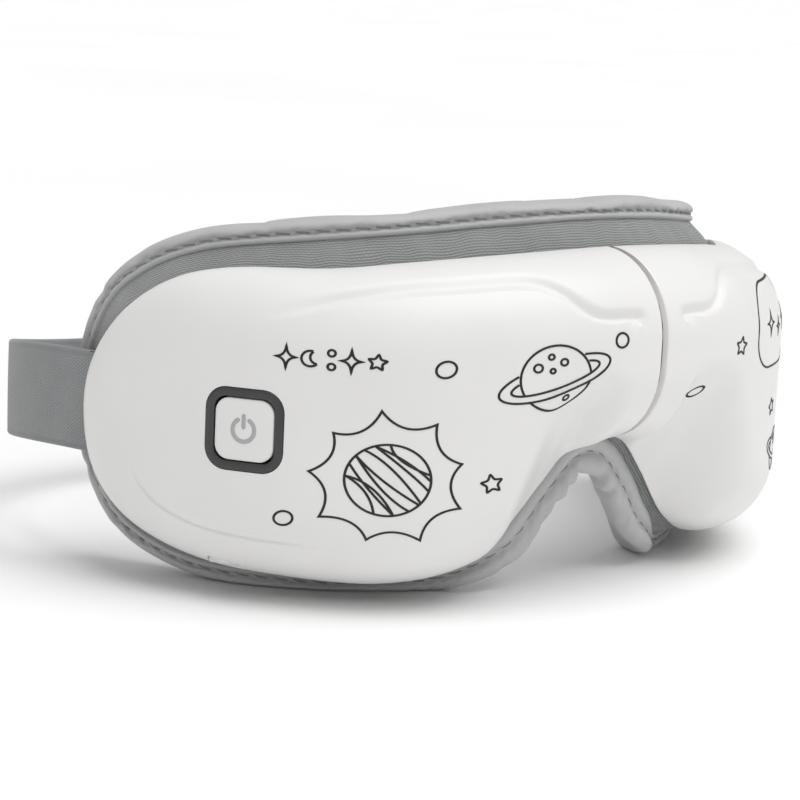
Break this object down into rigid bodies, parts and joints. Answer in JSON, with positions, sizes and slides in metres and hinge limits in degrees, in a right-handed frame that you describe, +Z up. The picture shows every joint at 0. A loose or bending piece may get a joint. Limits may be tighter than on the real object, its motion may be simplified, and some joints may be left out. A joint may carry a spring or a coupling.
{
  "type": "eye massager mask",
  "caption": "Foldable eye massager mask with two rigid front shells hinged at the nose, a stitched face cushion, a push button and an adjustable elastic head strap.",
  "frame": {"origin": "centre of the bounding box in plan, at the height of the face cushions' flat feet", "axes": "+Z up; the wearer looks along -Y, so -Y is the mask's front and -X is the wearer's right"},
  "size_m": [0.1992, 0.1711, 0.0921],
  "materials": {
    "shell_plastic": "satin moulded, printed line drawings",
    "dark_plastic": "satin moulded",
    "leather": "soft grained protein leather, stitched border",
    "knit": "fine ribbed knit",
    "foam": "open cell foam",
    "strap_webbing": "woven elastic webbing",
    "steel": "plain",
    "hinge_plastic": "satin",
    "frame_plastic": "moulded",
    "silicone": "translucent",
    "heating_film": "film",
    "circuit_board": "solder mask",
    "battery_foil": "foil",
    "black_plastic": "moulded"
  },
  "bodies": {
    "right_half": {"right_front_shell": "shell_plastic", "right_back_frame": "frame_plastic", "right_upper_screw": "steel", "right_lower_screw": "steel", "right_temple_screw": "steel", "right_knit_gusset": "knit", "right_foam_pad": "foam", "right_face_cushion": "leather", "right_strap_anchor": "frame_plastic", "right_airbag": "silicone", "right_heating_pad": "heating_film", "right_speaker": "black_plastic", "right_vibration_motor": "steel", "right_air_valve": "black_plastic", "hinge_pin": "steel", "right_hinge_leaf": "steel", "hinge_cover": "hinge_plastic", "nose_bridge_cushion": "leather", "upper_bridge_gusset": "knit", "lower_bridge_gusset": "knit", "button_bezel": "dark_plastic", "tactile_switch": "black_plastic", "main_circuit_board": "circuit_board", "charging_port": "steel", "battery_pack": "battery_foil"},
    "left_half": {"left_front_shell": "shell_plastic", "left_back_frame": "frame_plastic", "left_upper_screw": "steel", "left_lower_screw": "steel", "left_temple_screw": "steel", "left_knit_gusset": "knit", "left_foam_pad": "foam", "left_face_cushion": "leather", "left_strap_anchor": "frame_plastic", "left_airbag": "silicone", "left_heating_pad": "heating_film", "left_speaker": "black_plastic", "left_vibration_motor": "steel", "left_air_valve": "black_plastic", "left_upper_hinge_leaf": "steel", "left_lower_hinge_leaf": "steel", "air_pump": "black_plastic", "pump_motor": "steel", "left_air_hose": "silicone"},
    "power_button": {"power_button": "shell_plastic"},
    "right_motor_weight": {"right_motor_weight": "steel"},
    "left_motor_weight": {"left_motor_weight": "steel"},
    "strap_right": {"strap_right": "strap_webbing"},
    "strap_left": {"strap_left": "strap_webbing"},
    "strap_slider": {"strap_slider": "dark_plastic"}
  },
  "joints": [
    {"name": "fold_hinge", "type": "hinge", "parent": "right_half", "child": "left_half", "pos_m": [0, -0.06557, 0.0493], "axis": [0, 0, 1], "range_deg": [0, 80], "deforming": ["nose_bridge_cushion", "upper_bridge_gusset", "lower_bridge_gusset"]},
    {"name": "strap_temple_flex", "type": "hinge", "parent": "right_half", "child": "strap_right", "pos_m": [-0.09464, 0.00989, 0.0403], "axis": [0, 0, 1], "range_deg": [0, 81]},
    {"name": "strap_back_flex", "type": "hinge", "parent": "strap_right", "child": "strap_left", "pos_m": [0, 0.08285, 0.0288], "axis": [0, 0, 1], "range_deg": [-82, 0]},
    {"name": "slider_travel", "type": "slide", "parent": "strap_right", "child": "strap_slider", "axis": [1, 0, 0], "range_m": [-0.004, 0.004]},
    {"name": "button_press", "type": "slide", "parent": "right_half", "child": "power_button", "axis": [0.8778, 0.479, 0], "range_m": [0, 0.0007], "stiffness_N_per_m": 400, "springref_m": -0.001},
    {"name": "right_weight_spin", "type": "hinge", "parent": "right_half", "child": "right_motor_weight", "pos_m": [-0.03617, -0.06766, 0.0553], "axis": [-0.941, 0.3384, 0], "continuous": true},
    {"name": "left_weight_spin", "type": "hinge", "parent": "left_half", "child": "left_motor_weight", "pos_m": [0.03617, -0.06766, 0.0553], "axis": [0.941, 0.3384, 0], "continuous": true}
  ],
  "couplings": [
    {"joint": "strap_temple_flex", "follows": "fold_hinge", "ratio": 1.01},
    {"joint": "strap_back_flex", "follows": "fold_hinge", "ratio": -1.02}
  ]
}
